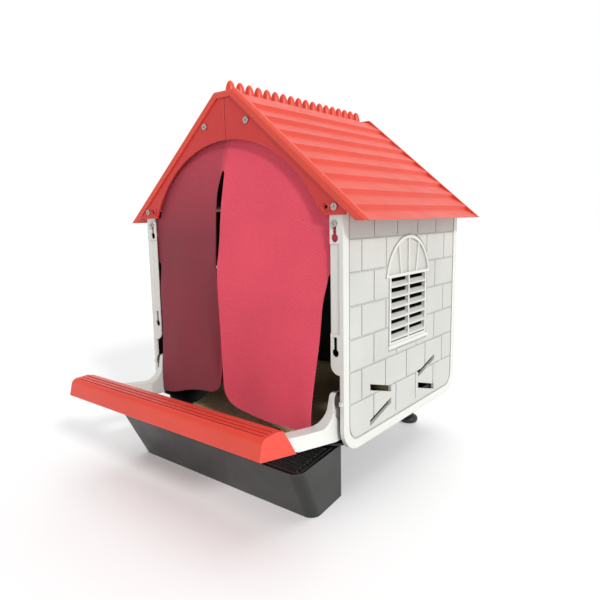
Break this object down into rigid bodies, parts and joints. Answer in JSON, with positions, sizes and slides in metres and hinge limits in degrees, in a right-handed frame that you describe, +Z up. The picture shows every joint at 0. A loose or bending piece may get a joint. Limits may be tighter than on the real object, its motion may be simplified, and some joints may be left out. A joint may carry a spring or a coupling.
{
  "type": "chicken coop",
  "caption": "Moulded nest-box chicken coop with brick-patterned walls, lapped gable roof, slit cloth door, folding landing perch and slide-out egg tray.",
  "frame": {"origin": "on the ground under the middle of the object's bounding box", "axes": "+Z up, -Y out of the door towards the perch, +X to the right of a person looking in through the door along +Y"},
  "size_m": [0.4324, 0.4706, 0.5305],
  "materials": {
    "wall_plastic": "satin moulded, warm light grey",
    "roof_red": "soft gloss, red-orange",
    "gable_red": "soft gloss, deeper red",
    "perch_red": "soft gloss, red-orange",
    "black_plastic": "satin, near black",
    "tray_charcoal": "satin, charcoal",
    "arm_grey": "satin, light grey",
    "bracket_dark": "satin, dark brown-grey",
    "steel": "bright zinc-plated",
    "curtain_cloth": "matt crimson cloth with a fine grain",
    "mat_fibre": "pressed tan fibre, speckled"
  },
  "bodies": {
    "house": {"right_side_wall": "wall_plastic", "left_side_wall": "wall_plastic", "back_panel": "wall_plastic", "roof_right_half": "roof_red", "roof_left_half": "roof_red", "ridge_spike_strip": "roof_red", "front_gable_right": "gable_red", "front_gable_left": "gable_red", "rear_gable": "gable_red", "gable_screws": "steel", "wall_plate_screws": "steel", "nest_floor_pan": "black_plastic", "nest_mat": "mat_fibre", "mat_pegs": "black_plastic", "egg_chute": "black_plastic", "foot_front_left": "black_plastic", "foot_front_right": "black_plastic", "foot_back_left": "black_plastic", "foot_back_right": "black_plastic", "perch_bracket_right": "bracket_dark", "perch_bracket_left": "bracket_dark", "perch_pivot_pin_right": "steel", "perch_pivot_pin_left": "steel", "curtain_right_flap": "curtain_cloth", "curtain_left_flap": "curtain_cloth"},
    "perch": {"perch_bar": "perch_red", "perch_arm_right": "arm_grey", "perch_arm_left": "arm_grey"},
    "tray": {"egg_tray": "tray_charcoal", "egg_tray_lid": "tray_charcoal"}
  },
  "joints": [
    {"name": "perch_fold", "type": "hinge", "parent": "house", "child": "perch", "pos_m": [0, -0.06872, 0.133], "axis": [-1, 0, 0], "range_deg": [0, 75], "deforming": ["curtain_right_flap", "curtain_left_flap"]},
    {"name": "tray_slide", "type": "slide", "parent": "house", "child": "tray", "axis": [0, -1, 0], "range_m": [0, 0.11]}
  ]
}
